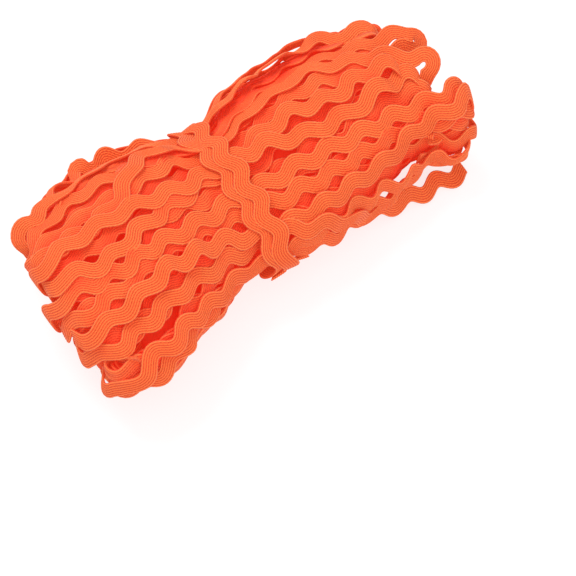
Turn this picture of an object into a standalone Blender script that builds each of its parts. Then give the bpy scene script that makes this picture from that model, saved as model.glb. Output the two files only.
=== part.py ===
"""A hank of ric rac: one long wavy braid folded to and fro, tied round its waist with its own trim.

Metres, +Z up. The hank lies along X on the plane z = 0, and the origin is the middle of its footprint.
"""

import bmesh
import bpy
import numpy as np
from mathutils import Matrix

# The trim, flat and at rest
TRIM_WIDTH = 0.0050        # across the braid, edge to edge
TRIM_SWING = 0.0015        # how far the wave swings to each side, so the trim is 8 mm wide overall
TRIM_PITCH = 0.0116        # one wave
TRIM_SOLID = 0.0016        # thickness of the braid where it is part of the wound form
EDGE_LEAN = 0.5            # how far the braid's edges stay square to the wave: 0 not at all, 1 fully

# The hank's outline: a row for each station along X
# x, half width, half height, y of the middle, z of the middle
SECTIONS = np.array([
    (-0.0800, 0.0190, 0.0110, -0.0035, 0.0180),
    (-0.0765, 0.0270, 0.0150, -0.0025, 0.0188),
    (-0.0725, 0.0315, 0.0180, -0.0028, 0.0198),
    (-0.0643, 0.0352, 0.0203, -0.0032, 0.0201),
    (-0.0541, 0.0382, 0.0218, -0.0024, 0.0211),
    (-0.0439, 0.0368, 0.0224, 0.0010, 0.0215),
    (-0.0317, 0.0348, 0.0219, 0.0030, 0.0211),
    (-0.0235, 0.0314, 0.0205, 0.0033, 0.0207),
    (-0.0172, 0.0286, 0.0184, 0.0030, 0.0204),
    (-0.0104, 0.0258, 0.0166, 0.0012, 0.0205),
    (-0.0057, 0.0246, 0.0160, 0.0005, 0.0205),
    (-0.0006, 0.0257, 0.0166, 0.0006, 0.0205),
    (0.0091, 0.0298, 0.0188, 0.0022, 0.0205),
    (0.0172, 0.0302, 0.0202, 0.0028, 0.0203),
    (0.0295, 0.0290, 0.0208, 0.0036, 0.0202),
    (0.0400, 0.0280, 0.0207, 0.0045, 0.0201),
    (0.0485, 0.0262, 0.0203, 0.0048, 0.0198),
    (0.0580, 0.0250, 0.0193, 0.0040, 0.0195),
    (0.0662, 0.0246, 0.0180, 0.0008, 0.0192),
    (0.0725, 0.0230, 0.0165, -0.0006, 0.0190),
    (0.0800, 0.0190, 0.0115, -0.0003, 0.0185),
])
FIRST_EDGE = 17.0          # degrees round the section where the runs are counted from, on the far side
CORE_DEPTH = 0.0022        # the packed runs under the outer ones

# The runs that show on the near and upper side, counted in degrees from the far edge
# left end, left lobe, waist, right lobe, right end, crest on the left, crest on the right, depth
FACING_RUNS = np.array([
    (20, 24, 20, 12, 16, -0.0433, 0.0325, 0.0014),
    (38, 36, 36, 33, 34, -0.0372, 0.0335, 0.0006),
    (52, 52, 50, 50, 54, -0.0405, 0.0223, 0.0016),
    (68, 67, 64, 69, 70, -0.0388, 0.0376, 0.0004),
    (86, 80, 79, 84, 80, -0.0388, 0.0393, 0.0008),
    (97, 94, 94, 97, 95, -0.0354, 0.0325, 0.0013),
    (113, 107, 109, 112, 112, -0.0371, 0.0274, 0.0016),
    (128, 126, 124, 129, 126, -0.0439, 0.0325, 0.0005),
    (150, 147, 142, 144, 144, -0.0446, 0.0270, 0.0009),
    (168, 163, 158, 161, 162, -0.0330, 0.0330, 0.0015),
])
RUN_STATIONS = np.array([-0.0740, -0.0440, -0.0032, 0.0440, 0.0740])
HIDDEN_RUNS = 12           # the runs on the far and under side, evenly spaced
HIDDEN_START, HIDDEN_END = 181.0, 362.0
HIDDEN_CRESTS = (-0.0420, 0.0300)
HIDDEN_DEPTHS = (0.0005, 0.0014)
WAVE_SHIFT = 0.618         # how far each hidden run's waves are shifted from the last one's

# How far the folds reach: degrees from the far edge, x at the left, x at the right
FOLD_REACH = np.array([
    (0, -0.0740, 0.0720),
    (35, -0.0765, 0.0765),
    (65, -0.0760, 0.0782),
    (95, -0.0785, 0.0770),
    (125, -0.0785, 0.0782),
    (150, -0.0760, 0.0750),
    (180, -0.0730, 0.0730),
    (270, -0.0725, 0.0725),
    (360, -0.0740, 0.0720),
])
FOLD_RADIUS = 0.0026
FOLD_POINTS = 7            # along the half turn of a fold
TUCK = 0.0100              # how far a run goes back inside after its fold
CORE_ENDS = (-0.0705, 0.0700)
CORE_STATIONS = 40
CORE_STEP = 9.0            # degrees

# The folds of the inner runs, which fill the two end faces
# depth under the outline, how many, how far they stop short of the outer folds, first one in degrees
INNER_FOLDS = np.array([
    (0.0078, 13, 0.0022, 5.0),
    (0.0142, 8, 0.0030, 20.0),
])
INNER_SECTION = 0.0680     # the inner folds spread as the section does this far from the middle
INNER_SHIFT = 90.0         # degrees round the section in which the folds' waves shift by one

# The tie: the same trim, laid twice round the waist
# offset along X, lift, lean up the lobe beside it, waves round the waist, how far the waves are shifted
TIE_TURNS = np.array([
    (-0.0022, 0.0000, -0.34, 12, 0.00),
    (0.0022, 0.0003, 0.16, 12, 0.10),
])
TIE_X = -0.0066
TIE_GAP = 0.0013           # between the tie and the runs' mean surface
TIE_SOLID = 0.0016
TIE_DRIFT = 0.0010         # how far the turns wander along X
TIE_STEP = 2.5             # degrees
# Its two short tails: how far each spreads along X, how steeply it leaves the hank
TIE_TAILS = np.array([
    (-0.0036, 0.55),
    (0.0030, 0.40),
])
TAIL_ANGLE = 186.0
TAIL_LENGTH = 0.0095
TAIL_OVERLAP = 0.0040      # laid on the turns before it leaves them
WAIST_RADIUS = 0.0200

# The cut end that lies loose beside the right lobe: a row for each point of its middle line
# x, y, z, lean from flat in degrees
LOOSE_END = np.array([
    (0.0150, -0.0267, 0.0125, 104.0),
    (0.0190, -0.0257, 0.0106, 102.0),
    (0.0240, -0.0243, 0.0088, 94.0),
    (0.0330, -0.0233, 0.0068, 78.0),
    (0.0440, -0.0238, 0.0056, 60.0),
    (0.0540, -0.0246, 0.0040, 40.0),
    (0.0620, -0.0248, 0.0026, 22.0),
    (0.0680, -0.0250, 0.0017, 12.0),
])
LOOSE_SOLID = 0.0010
LOOSE_STEP = 0.0010

STEP = 0.0015              # along a run
VOXEL = 0.0008             # the grain at which the runs are fused
HANK_TRIANGLES = 9600
TIE_TRIANGLES = 2200
FLOOR_SPAN, FLOOR_DEPTH = 0.3, 0.02
TO_MIDDLE = (0.0004, 0.0009, 0.0)   # brings the middle of the footprint to the origin


def clear_scene():
    for obj in list(bpy.data.objects):
        bpy.data.objects.remove(obj)


def new_collection(name):
    collection = bpy.data.collections.new(name)
    bpy.context.scene.collection.children.link(collection)
    return collection


def new_material(name, colour, roughness):
    material = bpy.data.materials.new(name)
    material.use_nodes = True
    shader = material.node_tree.nodes["Principled BSDF"]
    shader.inputs["Base Color"].default_value = (*colour, 1.0)
    shader.inputs["Roughness"].default_value = roughness
    shader.inputs["Metallic"].default_value = 0.0
    return material


def through(table, at):
    """Values of a table's rows at the given places in its first column, on a smooth curve."""
    places, values = table[:, 0], table[:, 1:]
    slopes = np.gradient(values, places, axis=0)
    at = np.clip(at, places[0], places[-1])
    row = np.clip(np.searchsorted(places, at) - 1, 0, len(places) - 2)
    gap = (places[row + 1] - places[row])[:, None]
    t = (at - places[row])[:, None] / gap
    start = (1 + 2 * t) * (1 - t) ** 2 * values[row] + t * (1 - t) ** 2 * gap * slopes[row]
    end = t * t * (3 - 2 * t) * values[row + 1] + t * t * (t - 1) * gap * slopes[row + 1]
    return start + end


def on_section(x, degrees, depth):
    """Points at a depth under the hank's outline."""
    half_y, half_z, middle_y, middle_z = through(SECTIONS, x).T
    angle = np.radians(degrees + FIRST_EDGE)
    y = middle_y + (half_y - depth) * np.cos(angle)
    z = middle_z + (half_z - depth) * np.sin(angle)
    return np.stack([x, y, z], axis=1)


def outward(x, degrees):
    """Unit vectors out of the hank's outline, square to X."""
    half_y, half_z, _, _ = through(SECTIONS, x).T
    angle = np.radians(degrees + FIRST_EDGE)
    across = np.stack([np.zeros_like(x), np.cos(angle) / half_y, np.sin(angle) / half_z], axis=1)
    return unit(across)


def unit(vectors):
    return vectors / np.linalg.norm(vectors, axis=1)[:, None]


def loft(name, rows, around=False, along=False):
    """A surface through rows of points, closed round each row or from the last row to the first."""
    mesh = bmesh.new()
    grid = [[mesh.verts.new(point) for point in row] for row in rows]
    pairs = list(zip(grid, grid[1:] + grid[:1])) if along else list(zip(grid, grid[1:]))
    for row, following in pairs:
        count = len(row)
        for i in range(count if around else count - 1):
            j = (i + 1) % count
            mesh.faces.new((row[i], row[j], following[j], following[i]))
    if around and not along:
        mesh.faces.new(reversed(grid[0]))
        mesh.faces.new(grid[-1])
    bmesh.ops.recalc_face_normals(mesh, faces=mesh.faces)
    data = bpy.data.meshes.new(name)
    mesh.to_mesh(data)
    mesh.free()
    return bpy.data.objects.new(name, data)


def braid(name, middle, normals, waves, thickness, collection, ring=False):
    """The wavy braid laid along a middle line, with its face square to the normals."""
    ahead = np.gradient(middle, axis=0)
    if ring:
        ahead = np.roll(middle, -1, axis=0) - np.roll(middle, 1, axis=0)
    ahead = unit(ahead)
    sideways = unit(np.cross(ahead, normals))
    swing = TRIM_SWING * np.cos(2 * np.pi * waves)
    slope = -TRIM_SWING * 2 * np.pi / TRIM_PITCH * np.sin(2 * np.pi * waves)
    rows = []
    for across in (-TRIM_WIDTH / 2, 0.0, TRIM_WIDTH / 2):
        lean = -EDGE_LEAN * across * slope
        rows.append(middle + sideways * (swing + across)[:, None] + ahead * lean[:, None])
    piece = loft(name, np.stack(rows, axis=1), along=ring)
    collection.objects.link(piece)
    shell = piece.modifiers.new("Thickness", "SOLIDIFY")
    shell.thickness = thickness
    shell.offset = 0.0
    return piece


def run_waves(x, left_crest, right_crest):
    """How many waves there are up to each x, with a crest at the two places given."""
    count = round((right_crest - left_crest) / TRIM_PITCH)
    left = (x - left_crest) / TRIM_PITCH
    middle = (x - left_crest) / (right_crest - left_crest) * count
    right = count + (x - right_crest) / TRIM_PITCH
    return np.where(x < left_crest, left, np.where(x > right_crest, right, middle))


def lay_run(index, angles, left_crest, right_crest, depth, collection):
    """One run of the trim from fold to fold, with its ends tucked inside."""
    table = np.column_stack([RUN_STATIONS, angles])
    left, right = through(FOLD_REACH, np.array([angles[2] % 360.0]))[0]
    x = np.arange(left + FOLD_RADIUS, right - FOLD_RADIUS, STEP)
    turn = np.linspace(0.0, np.pi, FOLD_POINTS)[1:]
    back = np.arange(STEP, TUCK, STEP)
    fold_x = np.concatenate([FOLD_RADIUS * np.sin(turn), -back])
    fold_depth = np.concatenate([FOLD_RADIUS * (1 - np.cos(turn)), np.full(len(back), 2 * FOLD_RADIUS)])
    fold_turn = np.concatenate([turn, np.full(len(back), np.pi)])
    all_x = np.concatenate([(x[0] - fold_x)[::-1], x, x[-1] + fold_x])
    all_depth = depth + TRIM_SOLID / 2
    all_depth = all_depth + np.concatenate([fold_depth[::-1], np.zeros(len(x)), fold_depth])
    turned = np.concatenate([-fold_turn[::-1], np.zeros(len(x)), fold_turn])
    degrees = through(table, all_x)[:, 0]
    middle = on_section(all_x, degrees, all_depth)
    out = outward(all_x, degrees)
    normals = out * np.cos(turned)[:, None] + np.array([[1.0, 0.0, 0.0]]) * np.sin(turned)[:, None]
    length = np.concatenate([[0.0], np.cumsum(np.linalg.norm(np.diff(middle, axis=0), axis=1))])
    waves = run_waves(length - length[len(fold_x)] + x[0], left_crest, right_crest)
    return braid(f"run_{index:02d}", middle, normals, waves, TRIM_SOLID, collection)


def lay_inner_fold(name, side, degrees, depth, reach, collection):
    """One fold of an inner run, seen on the end face: out, round and back in."""
    turn = np.linspace(0.0, np.pi, FOLD_POINTS)
    away = np.arange(TUCK, 0.0, -STEP)
    back = np.arange(STEP, TUCK, STEP)
    distance = np.concatenate([away, -FOLD_RADIUS * np.sin(turn), back])
    round_fold = FOLD_RADIUS * (1 - np.cos(turn))
    inward = np.concatenate([np.zeros(len(away)), round_fold, np.full(len(back), 2 * FOLD_RADIUS)])
    turned = np.concatenate([np.zeros(len(away)), turn, np.full(len(back), np.pi)])
    x = reach - side * (FOLD_RADIUS + distance)
    angles = np.full(len(x), degrees)
    spread = np.full(len(x), side * INNER_SECTION)
    middle = on_section(spread, angles, depth + inward)
    middle[:, 0] = x
    out = outward(spread, angles)
    normals = out * np.cos(turned)[:, None] + np.array([[side, 0.0, 0.0]]) * np.sin(turned)[:, None]
    waves = np.arange(len(x)) * STEP / TRIM_PITCH + degrees / INNER_SHIFT
    return braid(name, middle, normals, waves, TRIM_SOLID, collection)


def inner_folds(collection):
    pieces = []
    for row, (depth, count, short, first) in enumerate(INNER_FOLDS):
        for i in range(int(count)):
            degrees = first + 360.0 * i / count
            left, right = through(FOLD_REACH, np.array([degrees % 360.0]))[0]
            for side, reach in ((-1.0, left + short), (1.0, right - short)):
                name = f"inner_fold_{row}_{i}_{'left' if side < 0 else 'right'}"
                pieces.append(lay_inner_fold(name, side, degrees, depth, reach, collection))
    return pieces


def all_runs():
    """Rows like those of the facing runs, for the whole way round."""
    rows = list(FACING_RUNS)
    for i in range(HIDDEN_RUNS):
        angle = HIDDEN_START + (HIDDEN_END - HIDDEN_START) * (i + 0.5) / HIDDEN_RUNS
        shift = TRIM_PITCH * ((i * WAVE_SHIFT) % 1.0)
        crests = [crest + shift for crest in HIDDEN_CRESTS]
        rows.append(np.array([angle] * len(RUN_STATIONS) + crests + [HIDDEN_DEPTHS[i % 2]]))
    return rows


def core(collection):
    """What is packed under the outer runs."""
    stations = np.linspace(*CORE_ENDS, CORE_STATIONS)
    degrees = np.arange(0.0, 360.0, CORE_STEP)
    rows = [on_section(np.full(len(degrees), x), degrees, CORE_DEPTH) for x in stations]
    piece = loft("core", rows, around=True)
    collection.objects.link(piece)
    return piece


def real_mesh(obj):
    """The object's mesh with its modifiers carried out."""
    graph = bpy.context.evaluated_depsgraph_get()
    return bpy.data.meshes.new_from_object(obj.evaluated_get(graph))


def biggest_body(data):
    """Leaves the largest of a mesh's closed bodies, so that no sealed hollow stays inside."""
    mesh = bmesh.new()
    mesh.from_mesh(data)
    left = set(mesh.verts)
    bodies = []
    while left:
        found = {left.pop()}
        edge = list(found)
        while edge:
            vert = edge.pop()
            near = [link.other_vert(vert) for link in vert.link_edges]
            fresh = [v for v in near if v not in found]
            found.update(fresh)
            edge.extend(fresh)
        left -= found
        bodies.append(found)
    keep = max(bodies, key=len)
    bmesh.ops.delete(mesh, geom=[v for v in mesh.verts if v not in keep], context="VERTS")
    mesh.to_mesh(data)
    mesh.free()


def fused(name, pieces, triangles, material, collection):
    """One closed solid of all the pieces, drawn with the given number of triangles."""
    joined = bmesh.new()
    for piece in pieces:
        joined.from_mesh(real_mesh(piece))
    data = bpy.data.meshes.new(name)
    joined.to_mesh(data)
    joined.free()
    solid = bpy.data.objects.new(name, data)
    collection.objects.link(solid)
    felt = solid.modifiers.new("Felt", "REMESH")
    felt.mode = "VOXEL"
    felt.voxel_size = VOXEL
    bpy.context.view_layer.update()
    data = real_mesh(solid)
    biggest_body(data)
    solid.modifiers.clear()
    solid.data = data
    thin = solid.modifiers.new("Simplify", "DECIMATE")
    thin.ratio = triangles / sum(len(face.vertices) - 2 for face in data.polygons)
    bpy.context.view_layer.update()
    solid.data = real_mesh(solid)
    solid.modifiers.clear()
    biggest_body(solid.data)
    solid.data.materials.append(material)
    solid.data.shade_smooth()
    for piece in pieces:
        piece.hide_render = True
        piece.display_type = "WIRE"
    return solid


def cut_level(solid, helpers):
    """Cuts the solid level at z = 0, where it rests."""
    bpy.ops.mesh.primitive_cube_add(size=1.0, location=(0.0, 0.0, -FLOOR_DEPTH / 2))
    floor = bpy.context.object
    floor.name = "floor_cutter"
    floor.scale = (FLOOR_SPAN, FLOOR_SPAN, FLOOR_DEPTH)
    bpy.ops.object.transform_apply(location=False, rotation=False, scale=True)
    for owner in list(floor.users_collection):
        owner.objects.unlink(floor)
    helpers.objects.link(floor)
    floor.hide_render = True
    floor.display_type = "WIRE"
    cut = solid.modifiers.new("Level", "BOOLEAN")
    cut.operation = "DIFFERENCE"
    cut.solver = "EXACT"
    cut.object = floor


def build_hank(parts, helpers, material):
    pieces = [core(helpers), *inner_folds(helpers)]
    for index, row in enumerate(all_runs()):
        pieces.append(lay_run(index, row[:5], row[5], row[6], row[7], helpers))
    hank = fused("hank", pieces, HANK_TRIANGLES, material, parts)
    cut_level(hank, helpers)
    return hank


def tie_turn(name, offset, lift, lean, count, shift, collection):
    """One turn of the tie round the waist."""
    degrees = np.arange(0.0, 360.0, TIE_STEP)
    x = TIE_X + offset + TIE_DRIFT * np.sin(np.radians(degrees * 2))
    depth = np.full(len(x), -(TIE_GAP + TIE_SOLID / 2 + lift))
    waves = count * degrees / 360.0 + shift
    normals = unit(outward(x, degrees) - np.array([[lean, 0.0, 0.0]]))
    return braid(name, on_section(x, degrees, depth), normals, waves, TIE_SOLID, collection, ring=True)


def tie_tail(name, spread, steepness, collection):
    """One short tail of the tie, leaving the turns on the near side, low down."""
    length = np.arange(-TAIL_OVERLAP, TAIL_LENGTH, STEP)
    off = np.clip(length, 0.0, None)
    x = TIE_X + spread * off / TAIL_LENGTH
    degrees = TAIL_ANGLE + np.degrees(length / WAIST_RADIUS)
    line = on_section(x, degrees, -(TIE_GAP + TIE_SOLID / 2) - steepness * off)
    return braid(name, line, outward(x, degrees), length / TRIM_PITCH, TIE_SOLID, collection)


def build_tie(parts, helpers, material):
    """The tie: two turns pulled together, and two short tails."""
    pieces = []
    for number, row in enumerate(TIE_TURNS):
        pieces.append(tie_turn(f"tie_turn_{number}", *row, helpers))
    for number, row in enumerate(TIE_TAILS):
        pieces.append(tie_tail(f"tail_{number}", *row, helpers))
    return fused("waist_tie", pieces, TIE_TRIANGLES, material, parts)


def build_loose_end(parts, material):
    """The cut end beside the right lobe, one sheet of braid."""
    x = np.arange(LOOSE_END[0, 0], LOOSE_END[-1, 0], LOOSE_STEP)
    y, z, lean = through(LOOSE_END, x).T
    tilt = np.radians(lean)
    normals = np.stack([np.zeros_like(x), -np.sin(tilt), np.cos(tilt)], axis=1)
    middle = np.stack([x, y, z], axis=1)
    piece = braid("loose_end", middle, normals, x / TRIM_PITCH, LOOSE_SOLID, parts)
    piece.data.materials.append(material)
    return piece


def main():
    clear_scene()
    parts = new_collection("ric_rac_hank")
    helpers = new_collection("helpers")
    trim = new_material("orange_braid", (0.90, 0.13, 0.03), 0.85)
    build_hank(parts, helpers, trim)
    build_tie(parts, helpers, trim)
    build_loose_end(parts, trim)
    for obj in list(parts.objects) + list(helpers.objects):
        obj.data.transform(Matrix.Translation(TO_MIDDLE))


main()
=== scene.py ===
import math

import bpy
import numpy as np
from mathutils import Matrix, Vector


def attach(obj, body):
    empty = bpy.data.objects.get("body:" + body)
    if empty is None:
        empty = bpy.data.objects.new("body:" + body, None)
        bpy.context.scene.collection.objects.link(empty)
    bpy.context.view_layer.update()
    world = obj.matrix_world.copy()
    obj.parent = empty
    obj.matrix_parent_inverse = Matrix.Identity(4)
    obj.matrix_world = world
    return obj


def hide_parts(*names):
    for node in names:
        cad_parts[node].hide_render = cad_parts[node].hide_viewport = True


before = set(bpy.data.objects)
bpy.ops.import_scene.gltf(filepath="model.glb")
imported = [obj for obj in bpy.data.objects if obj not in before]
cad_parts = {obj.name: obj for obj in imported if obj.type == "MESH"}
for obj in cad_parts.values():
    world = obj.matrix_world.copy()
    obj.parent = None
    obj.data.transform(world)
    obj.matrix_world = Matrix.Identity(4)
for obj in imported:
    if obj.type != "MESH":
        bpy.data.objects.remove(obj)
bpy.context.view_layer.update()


# Camera
# A long lens on a stand, well above the table and off to the hank's fuller end, so that the hank runs up
# the picture from the lower left to the right. It looks past the hank, which fills the upper left.

CAMERA_AZIMUTH = -34.9
CAMERA_ELEVATION = 62.0
CAMERA_DISTANCE = 1.5
VIEW_WIDTH = 0.1842        # what the frame takes in where the hank lies
HANK_IN_VIEW = (-0.0156, 0.0300)   # how far the hank's middle lies right of and above the frame's middle
HANK_MIDDLE = Vector((-0.0027, 0.0014, 0.0205))

azimuth, elevation = math.radians(CAMERA_AZIMUTH), math.radians(CAMERA_ELEVATION)
to_camera = Vector((
    math.sin(azimuth) * math.cos(elevation),
    -math.cos(azimuth) * math.cos(elevation),
    math.sin(elevation),
))
view_right = Vector((math.cos(azimuth), math.sin(azimuth), 0.0))
view_up = to_camera.cross(view_right)
aim = HANK_MIDDLE - view_right * HANK_IN_VIEW[0] - view_up * HANK_IN_VIEW[1]

camera_data = bpy.data.cameras.new("camera")
camera_data.sensor_width = 36.0
camera_data.lens = 36.0 * CAMERA_DISTANCE / VIEW_WIDTH
camera_data.clip_end = 10.0
camera = bpy.data.objects.new("camera", camera_data)
camera.location = aim + to_camera * CAMERA_DISTANCE
camera.rotation_euler = to_camera.to_track_quat("Z", "Y").to_euler()
bpy.context.scene.collection.objects.link(camera)
bpy.context.scene.camera = camera


# The core of the hank
# The folded runs that no one sees, packed tight inside. Only its dark side shows, deep in the gaps between the runs:
# its deep red is painted shade, and it has the painted red glow. It carries the outline that all the runs are laid on:
# a row for each station along X.

OUTLINE = np.array([
    # x, half width, half height, y of the middle, z of the middle
    (-0.0800, 0.0190, 0.0110, -0.0035, 0.0180),
    (-0.0765, 0.0270, 0.0150, -0.0025, 0.0188),
    (-0.0725, 0.0315, 0.0180, -0.0028, 0.0198),
    (-0.0643, 0.0352, 0.0203, -0.0032, 0.0201),
    (-0.0541, 0.0382, 0.0218, -0.0024, 0.0211),
    (-0.0439, 0.0368, 0.0224, 0.0010, 0.0215),
    (-0.0317, 0.0348, 0.0219, 0.0030, 0.0211),
    (-0.0235, 0.0314, 0.0205, 0.0033, 0.0207),
    (-0.0172, 0.0286, 0.0184, 0.0030, 0.0204),
    (-0.0104, 0.0258, 0.0166, 0.0012, 0.0205),
    (-0.0057, 0.0246, 0.0160, 0.0005, 0.0205),
    (-0.0006, 0.0257, 0.0166, 0.0006, 0.0205),
    (0.0091, 0.0298, 0.0188, 0.0022, 0.0205),
    (0.0172, 0.0302, 0.0202, 0.0028, 0.0203),
    (0.0295, 0.0290, 0.0208, 0.0036, 0.0202),
    (0.0400, 0.0280, 0.0207, 0.0045, 0.0201),
    (0.0485, 0.0262, 0.0203, 0.0048, 0.0198),
    (0.0580, 0.0250, 0.0193, 0.0040, 0.0195),
    (0.0662, 0.0246, 0.0180, 0.0008, 0.0192),
    (0.0725, 0.0230, 0.0165, -0.0006, 0.0190),
    (0.0800, 0.0190, 0.0115, -0.0003, 0.0185),
])
OUTLINE_SHIFT = np.array((0.0004, 0.0009, 0.0))
FIRST_EDGE = 17.0          # turns are counted in degrees from here, on the far side, over the top to the near side
CORE_HEIGHT = -0.0052
CORE_ENDS = (-0.0620, 0.0565)
CORE_SHADE_COLOUR = (0.80, 0.050, 0.015)
# The braid and the core get a painted red glow: emission that stands in for light scattered through the braid and lifts
# the shade in the gaps.
PAINTED_DEEP_GLOW = (1.0, 0.040, 0.012)    # painted red glow, standing in for light that has come through the thin braid many times
PAINTED_OPEN_GLOW = (0.60, 0.066, 0.020)
PAINTED_GLOW = 0.30


def through(table, at):
    """Values of a table's rows at the given places in its first column, on a smooth curve."""
    places, values = table[:, 0], table[:, 1:]
    slopes = np.gradient(values, places, axis=0)
    at = np.clip(at, places[0], places[-1])
    row = np.clip(np.searchsorted(places, at) - 1, 0, len(places) - 2)
    gap = (places[row + 1] - places[row])[:, None]
    t = (at - places[row])[:, None] / gap
    start = (1 + 2 * t) * (1 - t) ** 2 * values[row] + t * (1 - t) ** 2 * gap * slopes[row]
    end = t * t * (3 - 2 * t) * values[row + 1] + t * t * (t - 1) * gap * slopes[row + 1]
    return start + end


def unit(vectors):
    return vectors / np.maximum(np.linalg.norm(vectors, axis=-1, keepdims=True), 1e-12)


def bare_outline(x, turn):
    half_y, half_z, middle_y, middle_z = through(OUTLINE, x).T
    angle = np.radians(turn + FIRST_EDGE)
    return np.stack([x, middle_y + half_y * np.cos(angle), middle_z + half_z * np.sin(angle)], axis=1)


def outline_normal(x, turn):
    """Unit vectors straight out of the hank's outline."""
    along = bare_outline(x + 0.0004, turn) - bare_outline(x - 0.0004, turn)
    around = bare_outline(x, turn + 0.5) - bare_outline(x, turn - 0.5)
    return unit(np.cross(around, along))


def on_outline(x, turn, height):
    """Points at a height above the hank's outline."""
    return bare_outline(x, turn) + outline_normal(x, turn) * height[:, None] + OUTLINE_SHIFT


def arc_per_degree(x, turn):
    half_y, half_z, _, _ = through(OUTLINE, x).T
    angle = np.radians(turn + FIRST_EDGE)
    return np.hypot(half_y * np.sin(angle), half_z * np.cos(angle)) * math.radians(1.0)


def outline_curvature(x, turn):
    half_y, half_z, _, _ = through(OUTLINE, x).T
    angle = np.radians(turn + FIRST_EDGE)
    return half_y * half_z / np.hypot(half_y * np.sin(angle), half_z * np.cos(angle)) ** 3


def plain_mesh(name, points, faces):
    mesh = bpy.data.meshes.new(name)
    mesh.from_pydata([tuple(point) for point in points], [], faces)
    mesh.update()
    return mesh


FLOOR_ZONE = 0.0024        # below this height the hank's own weight flattens it


def press_on_floor(mesh, lowest):
    """Flattens what lies low, so that the hank rests on a flat spot and nothing is under the floor."""
    points = np.empty(len(mesh.vertices) * 3)
    mesh.vertices.foreach_get("co", points)
    points = points.reshape(-1, 3)
    z = points[:, 2]
    squeezed = FLOOR_ZONE * np.exp((np.minimum(z, FLOOR_ZONE) - FLOOR_ZONE) / FLOOR_ZONE)
    floor = FLOOR_ZONE * math.exp((lowest - FLOOR_ZONE) / FLOOR_ZONE)
    squeezed = (squeezed - floor) * FLOOR_ZONE / (FLOOR_ZONE - floor) + 0.00005
    points[:, 2] = np.where(z < FLOOR_ZONE, squeezed, z)
    mesh.vertices.foreach_set("co", points.ravel())
    mesh.update()


LOWEST = -0.0032           # how far under the floor the outline's runs would reach


def add_piece(name, mesh, material):
    """Puts a finished mesh in the scene as a piece of the object."""
    mesh.name = name
    mesh.materials.clear()
    mesh.materials.append(material)
    piece = bpy.data.objects.new(name, mesh)
    bpy.context.scene.collection.objects.link(piece)
    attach(piece, "root")
    return piece


# The core's deep red is painted shade for the gaps, and its emission is the painted red glow.
core_material = bpy.data.materials.new("packed_runs_painted_shade")
core_material.use_nodes = True
core_shader = core_material.node_tree.nodes["Principled BSDF"]
core_shader.inputs["Roughness"].default_value = 0.95
core_shader.inputs["Emission Color"].default_value = (*PAINTED_DEEP_GLOW, 1.0)
core_shader.inputs["Emission Strength"].default_value = PAINTED_GLOW * 0.8
core_noise = core_material.node_tree.nodes.new("ShaderNodeTexNoise")
core_noise.inputs["Scale"].default_value = 420.0
core_place = core_material.node_tree.nodes.new("ShaderNodeTexCoord")
core_ramp = core_material.node_tree.nodes.new("ShaderNodeValToRGB")
core_ramp.color_ramp.elements[0].color = (*[0.7 * c for c in CORE_SHADE_COLOUR], 1.0)
core_ramp.color_ramp.elements[1].color = (*CORE_SHADE_COLOUR, 1.0)
core_material.node_tree.links.new(core_place.outputs["Object"], core_noise.inputs["Vector"])
core_material.node_tree.links.new(core_noise.outputs["Fac"], core_ramp.inputs["Fac"])
core_material.node_tree.links.new(core_ramp.outputs["Color"], core_shader.inputs["Base Color"])

DENT = (0.0062, -0.0400, 0.0230, 0.0, 26.0)   # depth, x and reach along X, turn and reach round the hank


def dent(x, turn):
    """How far the pack is pressed in on the far side of the fuller lobe, under two runs that have lifted."""
    depth, middle_x, reach_x, middle_turn, reach_turn = DENT
    away = (turn - middle_turn + 180.0) % 360.0 - 180.0
    return depth * np.exp(-((x - middle_x) / reach_x) ** 4 - (away / reach_turn) ** 4)


core_x = np.linspace(*CORE_ENDS, 90)
core_turn = np.arange(0.0, 360.0, 5.0)
core_rows = []
for x in core_x:
    ripple = 0.0004 * np.cos(np.radians(core_turn * 22)) * math.cos(x / 0.0116 * 2 * math.pi)
    core_rows.append(on_outline(np.full(len(core_turn), x), core_turn, CORE_HEIGHT + ripple - dent(x, core_turn)))
core_points = np.concatenate(core_rows)
around = len(core_turn)
core_faces = [
    (r * around + i, r * around + (i + 1) % around, (r + 1) * around + (i + 1) % around, (r + 1) * around + i)
    for r in range(len(core_x) - 1) for i in range(around)
]
core_faces.append(tuple(range(around))[::-1])
core_faces.append(tuple(range((len(core_x) - 1) * around, len(core_x) * around)))
core_mesh = plain_mesh("core", core_points, core_faces)
core_mesh.shade_smooth()


def turn_outward(mesh):
    """Turns a closed mesh's faces outward."""
    mesh.calc_loop_triangles()
    points = np.empty(len(mesh.vertices) * 3)
    mesh.vertices.foreach_get("co", points)
    points = points.reshape(-1, 3)
    corners = np.empty(len(mesh.loop_triangles) * 3, dtype=np.int32)
    mesh.loop_triangles.foreach_get("vertices", corners)
    a, b, c = points[corners.reshape(-1, 3)].transpose(1, 0, 2)
    if (np.cross(b - a, c - a) * a).sum() < 0:
        mesh.flip_normals()


turn_outward(core_mesh)
press_on_floor(core_mesh, LOWEST)
core = add_piece("core", core_mesh, core_material)
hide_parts("hank")


# The runs under the outer ones
# The same braid as everywhere: seven cords of spun polyester, braided flat into a band under 6 mm wide that
# waves from side to side, 8 to 9 mm overall. The runs are laid here one on another, from the inside out.

BAND_WIDTH = 0.0057
BAND_THICKNESS = 0.0009
BAND_RIBS = 7
RIB_HEIGHT = 0.00018
SWING = 0.00145
PITCH = 0.0115
LEAN = 0.22                # how far the band's edges stay square to the wave
STEP = 0.00084
CAPTURED = (
    "centre", "facing", "side", "ahead", "wave", "swell", "tilt", "cup", "along", "across", "lift", "painted_shade_side",
)


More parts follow.
